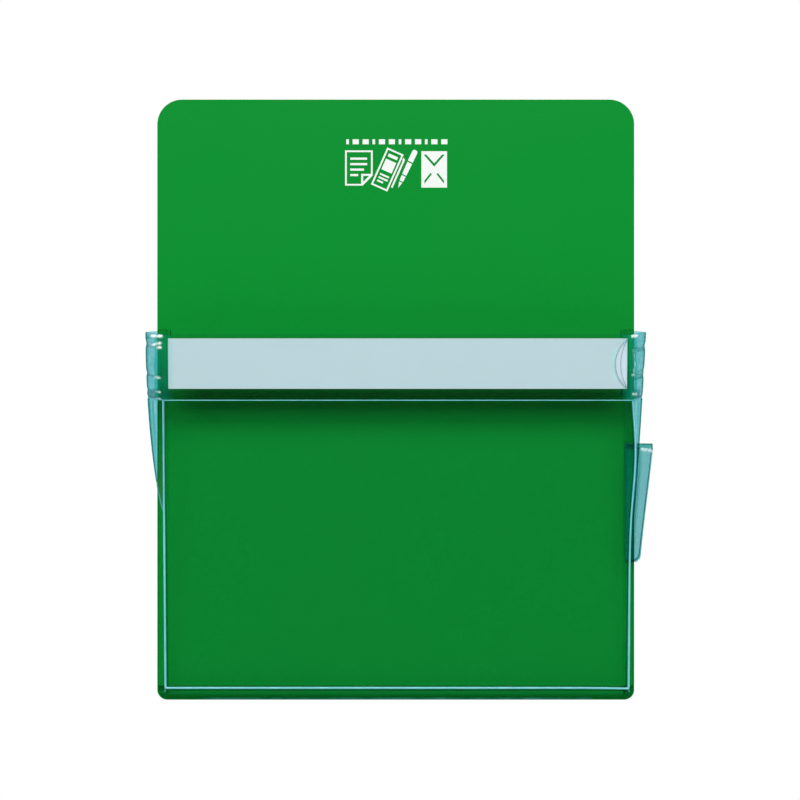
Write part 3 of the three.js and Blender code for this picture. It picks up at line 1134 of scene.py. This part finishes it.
# The rim's weld line, round the panel and out to the tips of the pleats

seamSizes = {
    "radius": 0.24,
    "solid": 0.65,
    "height": -0.35,
    "tuck": 0.6,
    "forward": 0.6,
    "foldRadius": 0.6,
    "spans": (6, 30, 6),
    "turns": 4,
}


def seamPath(y):
    corners = pocketCorners(y)
    ends = [(corners[k][0] - side * seamSizes["tuck"], corners[k][1] + seamSizes["forward"])
            for k, side in ((1, -1), (4, 1))]
    fold = seamSizes["foldRadius"]
    path = roundedPath([ends[0], corners[2], corners[3], ends[1]], (fold, fold),
                       seamSizes["spans"], seamSizes["turns"])
    depth = panelDepth(y)
    return [(x, riseTowardsBacking(y, d, depth), d) for x, d in path]


seams = roundLines("rimSeams", [seamPath(seamSizes["height"])], seamSizes["radius"],
                   beadFilm("seamFilm", seamSizes["solid"]))
print("beads and seams made")


# The notch's rim and the pressed line inside it
def notchLines():
    outer = notchArc(notchSizes["reach"] - notchSizes["rimIn"],
                     notchSizes["right"] - notchSizes["rimLeft"], notchSizes["height"])
    inner = notchArc(notchSizes["lineReach"], notchSizes["lineRight"], notchSizes["lineHeight"])
    paths = [[(x, y, panelDepth(y) - notchSizes["lineSink"]) for x, y in arc]
             for arc in (outer, inner)]
    return roundLines("notchRim", paths, notchSizes["lineRadius"],
                      beadFilm("notchLine", notchSizes["lineSolid"], "notch"))


notch = notchLines()


# The pen sleeve

penSizes = {
    "top": -22.0,
    "foot": -81.0,
    "film": 0.35,
    "topReach": 9.0,
    "footReach": 2.0,
    "foldDepth": 4.0,
    "corner": 3.5,
    "bulge": 2.5,
    "dip": 3.3,
    "fromCrease": 1.0,
    "rows": 60,
    "spans": 12,
    "footGap": 0.02,
    "backTuck": (0.25, 0.6),
    "backDepth": 0.85,
    "backSteps": (119.3, 117.6, 116.4, 115.9, 115.25),
}


def penCorners(y):
    top, foot = penSizes["top"], penSizes["foot"]
    down = held((top - y) / (top - foot))
    into = max(penSizes["corner"] - (y - foot), 0)
    loss = penSizes["corner"] - math.sqrt(max(penSizes["corner"] ** 2 - into ** 2, 0))
    reach = penSizes["topReach"] + (penSizes["footReach"] - penSizes["topReach"]) * down - loss
    depth = panelDepth(y)
    start = (rightCrease(y) + penSizes["fromCrease"], depth - pocket["film"])
    fold = (pocket["sheetEdge"] + reach,
            pocket["film"] + penSizes["foldDepth"] * depth / panelDepth(top))
    away = unit(start[1] - fold[1], fold[0] - start[0])
    pull = ((start[0] + fold[0]) / 2 + away[0] * 2 * penSizes["bulge"],
            (start[1] + fold[1]) / 2 + away[1] * 2 * penSizes["bulge"])
    front = []
    for i in range(penSizes["spans"] + 1):
        t = i / penSizes["spans"]
        a, b, c = (1 - t) ** 2, 2 * t * (1 - t), t * t
        front.append((a * start[0] + b * pull[0] + c * fold[0],
                      a * start[1] + b * pull[1] + c * fold[1]))
    return front, fold


# The sleeve's tones and its painted highlight, which follows its open edge and fades down its side.
# Each part of the back holds its tone and its painted light, a lit green over the sheet.
penTones = {
    "front": 2.0,
    "folds": 0.9,
    "innerFold": (0.06, 0.09),  # middle and half width
    "outerPower": 8,
    "beyond": (2.0, 0.0),
    "over": (1.1, 0.12),
    "weld": (2.2, 0.18),
    "weldX": 116.0,
    "ends": 3.0,
    # Painted shade inside the sleeve's open top, darkening its back near the top
    "topShade": (2.6, 0.8),  # how far down it is dark and how fast that fades
    "footFade": 0.9,
    # Painted highlight, white and glowing, along the sleeve's open edge and down its side
    "white": 0.6,
    "edge": (0.3, 0.8, 0.7),  # below the top, how much lower at the fold, half width
    "edgeSpan": (0.15, 0.95),  # how far across it runs
    "side": 0.8,
    "sideAt": (0.86, 0.05),
    "sideFrom": 1.5,
    "sideFade": (2.0, 16.0),  # how far down it stays full and how slowly it then fades
}


# Tone and painted highlight at t of the way across the front, from the bead to the outer fold
def sleeveFront(y, t):
    down = penSizes["top"] - y
    folds = hump(t, *penTones["innerFold"]) + max(0, 2 * t - 1) ** penTones["outerPower"]
    below, slant, half = penTones["edge"]
    least, most = penTones["edgeSpan"]
    edge = hump(down, below + slant * t, half) * (least < t < most)
    start, length = penTones["sideFade"]
    side = hump(t, *penTones["sideAt"]) * math.exp(-max(down - start, 0) / length)
    side *= penTones["side"] * (down > penTones["sideFrom"])
    return penTones["front"] + penTones["folds"] * folds, penTones["white"] * max(edge, side)


# Tone and painted light at a point of the back
def sleeveBack(x, y):
    # Painted shade darkens the back down from its open top; it is also darker just above the foot
    deep, fade = penTones["topShade"]
    ends = max(1 - max(penSizes["top"] - y - deep, 0) / fade,
               math.exp(-(y - penSizes["foot"]) / penTones["footFade"]))
    zone = "weld"
    if x > filmTones["beyondSheet"]:
        zone = "beyond"
    elif x > penTones["weldX"]:
        zone = "over"
    tone, paintedLight = penTones[zone]
    return max(tone, penTones["ends"] * ends), paintedLight


def penSleeve():
    top, foot = penSizes["top"], penSizes["foot"]
    low = foot + penSizes["footGap"]
    tuck, sink = penSizes["backTuck"]
    rows = []
    layers = {"tone": [], "crease": [], "paintedLight": []}
    for i in range(penSizes["rows"] + 1):
        y = low + (top - low) * i / penSizes["rows"]
        share = (y - foot) / (top - foot)
        front, fold = penCorners(y)
        back = [(fold[0] - tuck, fold[1] - sink)]
        back += [(x, penSizes["backDepth"]) for x in penSizes["backSteps"]]
        row, looks = [], []
        for j, (x, depth) in enumerate(front):
            t = j / penSizes["spans"]
            row.append((x, y - penSizes["dip"] * share * (0.5 + t / 2), depth))
            looks.append((*sleeveFront(y, t), 0.0))
        for x, depth in back:
            tone, paintedLight = sleeveBack(x, y)
            row.append((x, y, depth))
            looks.append((tone, 0.0, paintedLight))
        rows.append(row)
        for key, values in zip(layers, zip(*looks)):
            layers[key].append(values)
    return filmShell("penSleeve", rows, layers, sleeveLook, penSizes["film"])


# The dark lines along the sleeve's borders: its outer fold, its edge at the bead, its weld, its
# foot and its head

penLines = {
    "radius": 0.26,
    "spans": 40,
    "fromEnds": 0.5,
    "foldIn": 0.3,
    "frontIn": 0.25,
    "frontFrom": 2,
    "weldX": 115.6,
    "weldDepth": 0.9,
    "weldBelow": 1.5,
    "footEnd": 119.6,
    "footSpans": 8,
    "headBelow": 0.3,
    "headSpans": 12,
}


def penPaths():
    top, foot = penSizes["top"], penSizes["foot"]
    tall = top - foot
    low, spans = foot + penLines["fromEnds"], penLines["spans"]
    weldX, weldDepth = penLines["weldX"], penLines["weldDepth"]
    heights = [low + (tall - 2 * penLines["fromEnds"]) * i / spans for i in range(spans + 1)]
    fold, front = [], []
    for y in heights:
        across, (x, depth) = penCorners(y)
        fold.append((x - penLines["foldIn"], y, depth))
        front.append((across[0][0] - penLines["frontIn"], y - penSizes["dip"] * (y - foot) / tall,
                      across[0][1]))
    weld = [(weldX, y, weldDepth) for y in heights if y < top - penLines["weldBelow"]]
    wide, count = penLines["footEnd"] - weldX, penLines["footSpans"]
    base = [(weldX + wide * i / count, low, weldDepth) for i in range(count + 1)]
    head = []
    for i in range(penLines["headSpans"] + 1):
        t = i / penLines["headSpans"]
        head.append((weldX + (fold[-1][0] - weldX) * t, top - penLines["headBelow"],
                     weldDepth + (fold[-1][2] - weldDepth) * t ** 2))
    return [fold, front[penLines["frontFrom"]:], weld, base, head]


sleeve = penSleeve()
sleeveLines = roundLines("sleeveLines", penPaths(), penLines["radius"], lineLook)
print("pen sleeve made")


# Printed marks on the bare face: four pictograms, with a row of plain bars and dots above them

markSizes = {
    "depth": 0.02,  # in front of the sheet's face
    "thickness": 0.03,
    "stroke": 0.85,
    "page": (-25.5, -11.6, 107.7, 125.4),  # left, right, low and high
    "pageCorner": (-17.4, 113.6),
    "ruleLeft": -22.9,
    "ruleRights": (-14.4, -14.4, -16.0, -18.9),
    "ruleTop": 120.7,
    "rulePitch": 2.75,
    "ruleHeight": 1.1,
    "leaflet": (-4.1, 115.9),
    "leafletTilt": -24,
    "pen": (5.7, 116.2),
    "penTilt": -25,
    "barsLeft": -24.9,
    "bars": (128.5, 131.0),
    "barCount": 12,
    "barWide": 3.1,
    "dotWide": 1.3,
    "barGap": 1.9,
}


def turned(points, degrees, centre):
    c, s = math.cos(math.radians(degrees)), math.sin(math.radians(degrees))
    return [(centre[0] + x * c - y * s, centre[1] + x * s + y * c) for x, y in points]


def boxAt(left, right, low, high):
    return [(left, low), (right, low), (right, high), (left, high)]


# Page with a turned-up corner and rules. A ring is an outline with a smaller one inside it.
def pageMarks():
    stroke = markSizes["stroke"]
    left, right, low, high = markSizes["page"]
    cornerX, cornerY = markSizes["pageCorner"]
    marks = [
        [(left, low), (-16.6, low), (right, 112.8), (right, high), (left, high)],
        [(left + stroke, low + stroke), (cornerX, low + stroke), (cornerX, cornerY),
         (right - stroke, cornerY), (right - stroke, high - stroke), (left + stroke, high - stroke)],
    ]
    for k, ruleRight in enumerate(markSizes["ruleRights"]):
        ruleLow = markSizes["ruleTop"] - markSizes["rulePitch"] * k
        ruleHigh = ruleLow + markSizes["ruleHeight"]
        marks.append(boxAt(markSizes["ruleLeft"], ruleRight, ruleLow, ruleHigh))
    marks.append([(-16.4, 109.6), (-13.4, 112.6), (-16.4, 112.6)])
    return marks


# Tilted leaflet: its outline, a heading, a picture, three bars and the sheet behind it
def leafletMarks():
    stroke = markSizes["stroke"]
    left, right, low, high = -4.6, 4.4, -10.3, 10.0
    marks = (
        boxAt(left, right, low, high),
        boxAt(left + stroke, right - stroke, low + stroke, high - stroke),
        boxAt(-2.6, 2.4, 6.0, 7.6),
        boxAt(-2.9, 2.7, -1.2, 4.6),
        boxAt(-2.6, 2.4, -4.0, -3.1),
        boxAt(-2.6, 2.4, -5.8, -4.9),
        boxAt(-2.6, 0.6, -7.6, -6.7),
        [(4.9, 8.6), (6.1, 7.9), (6.1, -7.6), (5.2, -7.6), (5.2, 7.0), (4.9, 7.2)],
    )
    return [turned(points, markSizes["leafletTilt"], markSizes["leaflet"]) for points in marks]


# Tilted pen, in four parts from its cap down to its tip
def penMarks():
    marks = (
        [(-1.35, 3.9), (1.35, 3.9), (1.35, 9.4), (0.8, 10.2), (-0.8, 10.2), (-1.35, 9.4)],
        [(-1.15, -3.4), (1.15, -3.4), (1.3, 3.2), (-1.3, 3.2)],
        [(-0.95, -6.9), (0.95, -6.9), (1.1, -4.0), (-1.1, -4.0)],
        [(0.0, -10.6), (0.85, -7.5), (-0.85, -7.5)],
    )
    return [turned(points, markSizes["penTilt"], markSizes["pen"]) for points in marks]


# Envelope, filled, with its flap and its seams left bare
def envelopeMarks():
    return [
        boxAt(12.9, 25.8, 106.7, 125.0),
        [(14.0, 123.3), (19.35, 117.2), (24.7, 123.3), (23.3, 123.3), (19.35, 118.9),
         (15.4, 123.3)],
        [(14.4, 108.6), (18.2, 113.4), (17.5, 114.1), (14.4, 110.2)],
        [(24.3, 108.6), (24.3, 110.2), (21.2, 114.1), (20.5, 113.4)],
    ]


def barMarks():
    marks = []
    x = markSizes["barsLeft"]
    for k in range(markSizes["barCount"]):
        wide = markSizes["barWide" if k % 3 else "dotWide"]
        marks.append(boxAt(x, x + wide, *markSizes["bars"]))
        x += wide + markSizes["barGap"]
    return marks


def printedMarks():
    curve = bpy.data.curves.new("printedMarks", "CURVE")
    curve.dimensions = "2D"
    curve.fill_mode = "BOTH"
    curve.extrude = markSizes["thickness"] * mm / 2
    for outline in pageMarks() + leafletMarks() + penMarks() + envelopeMarks() + barMarks():
        spline = curve.splines.new("POLY")
        spline.points.add(len(outline) - 1)
        for point, (x, y) in zip(spline.points, outline):
            point.co = (x * mm, y * mm, 0, 1)
        spline.use_cyclic_u = True
    made = bpy.data.objects.new("printedMarks", curve)
    scene.collection.objects.link(made)
    depsgraph = bpy.context.evaluated_depsgraph_get()
    mesh = bpy.data.meshes.new_from_object(made.evaluated_get(depsgraph), depsgraph=depsgraph)
    bpy.data.objects.remove(made)
    out = pocket["backing"] + markSizes["depth"] + markSizes["thickness"] / 2
    for vertex in mesh.vertices:
        x, y, z = vertex.co
        vertex.co = (x, -out * mm - z, y)
    mesh.update()
    marks = bpy.data.objects.new("printedMarks", mesh)
    scene.collection.objects.link(marks)
    mesh.materials.clear()
    mesh.materials.append(printInk())
    return marks


for piece in (film, rim, sleeve):
    sharpRims(piece)
marks = printedMarks()
print("printed marks made")


# The CAD pieces that show as they are

def coat(name, material):
    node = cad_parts[name]
    node.data.materials.clear()
    node.data.materials.append(material)


coat("magnet_sheet", magnetRubber())
coat("face_sheet", faceVinyl())
coat("title_label", titlePaper())

for piece, replaced in (
    (film, "pocket_film"),
    (beads, "pocket_film"),
    (corners, "pocket_film"),
    (seams, "pocket_film"),
    (shades, "pocket_film"),
    (outlines, "pocket_film"),
    (pleatEnds, "pocket_film"),
    (footEdge, "pocket_film"),
    (notch, "pocket_film"),
    (rim, "rim_layer"),
    (sleeve, "pen_sleeve"),
    (sleeveLines, "pen_sleeve"),
):
    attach(piece, "root")
    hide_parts(replaced)
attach(marks, "root")
print("pieces placed")


# Floor, light, world and camera, in metres

studioSizes = {
    "floorHalf": 0.8,
    "floorHeight": -0.42,
    "floorColours": ((0.8, 0.8, 0.8, 1), (0.76, 0.76, 0.77, 1)),
    "floorCloud": (2.0, 2.0),
    "floorRoughness": 0.8,
    "lampWide": 2.4,
    "lampHigh": 0.9,
    "lampPower": 47,
    "lampPlace": (0, -1.55, 1.25),
    "skyColour": (0.95, 0.98, 1, 1),
    "skyStrength": 0.16,
    "glossyStrength": 0.01,
    "behind": (0.1, 0.6, 0.02, 0.25),  # direction from and to, glow from and to
    "sensor": 36,
    "lens": 107.3,
    "camera": (0.00214, -1.201, -0.0002),
}


def studioFloor():
    material, graph = newMaterial("paleFloor")
    cloud = graph.noise(graph.place(), *studioSizes["floorCloud"])
    shown(graph, graph.node("ShaderNodeBsdfPrincipled", None, {
        "Base Color": graph.colour(cloud, *studioSizes["floorColours"]),
        "Roughness": studioSizes["floorRoughness"],
    }))
    half, height = studioSizes["floorHalf"], studioSizes["floorHeight"]
    verts = [(x, y, height) for x, y in boxAt(-half, half, -half, half)]
    floor = meshObject("floor", verts, [(0, 1, 2, 3)], material, False)
    floor.visible_glossy = False


def studioLamp():
    key = bpy.data.lights.new("key", "AREA")
    key.shape = "RECTANGLE"
    key.size = studioSizes["lampWide"]
    key.size_y = studioSizes["lampHigh"]
    key.energy = studioSizes["lampPower"]
    lamp = bpy.data.objects.new("key", key)
    scene.collection.objects.link(lamp)
    lamp.location = studioSizes["lampPlace"]
    lamp.rotation_euler = (Vector((0, 0, 0)) - lamp.location).to_track_quat("-Z", "Y").to_euler()


# The camera sees white. Glossy rays see the dark with a faint glow behind the pocket, and all
# other rays get an even fill.
def skyNodes():
    world = bpy.data.worlds.new("studio")
    world.use_nodes = True
    scene.world = world
    graph = Graph(world.node_tree)

    def sky(colour, strength):
        return graph.node("ShaderNodeBackground", None, {"Color": colour, "Strength": strength})

    path = graph.node("ShaderNodeLightPath")
    seen = path.out("Is Camera Ray") + path.out("Is Transmission Ray")
    glossy = path.out("Is Glossy Ray")
    place = graph.node("ShaderNodeTexCoord").out("Generated")
    away = graph.node("ShaderNodeSeparateXYZ", None, {0: place}).out("Y")
    behind = graph.span(away, *studioSizes["behind"])
    share = (seen + glossy * behind).lower(1.0)
    soft = sky(studioSizes["skyColour"], studioSizes["skyStrength"])
    dark = sky(studioSizes["skyColour"], studioSizes["glossyStrength"])
    fill = graph.mix(glossy, soft, dark)
    white = sky((1, 1, 1, 1), 1.0)
    graph.node("ShaderNodeOutputWorld", None, {"Surface": graph.mix(share, fill, white)})


def photoCamera():
    data = bpy.data.cameras.new("camera")
    data.sensor_width = studioSizes["sensor"]
    data.lens = studioSizes["lens"]
    made = bpy.data.objects.new("camera", data)
    scene.collection.objects.link(made)
    made.location = studioSizes["camera"]
    made.rotation_euler = (math.pi / 2, 0, 0)
    scene.camera = made


studioFloor()
studioLamp()
skyNodes()
photoCamera()
scene.view_settings.view_transform = "Standard"
scene.cycles.transparent_max_bounces = 32
print("studio made")
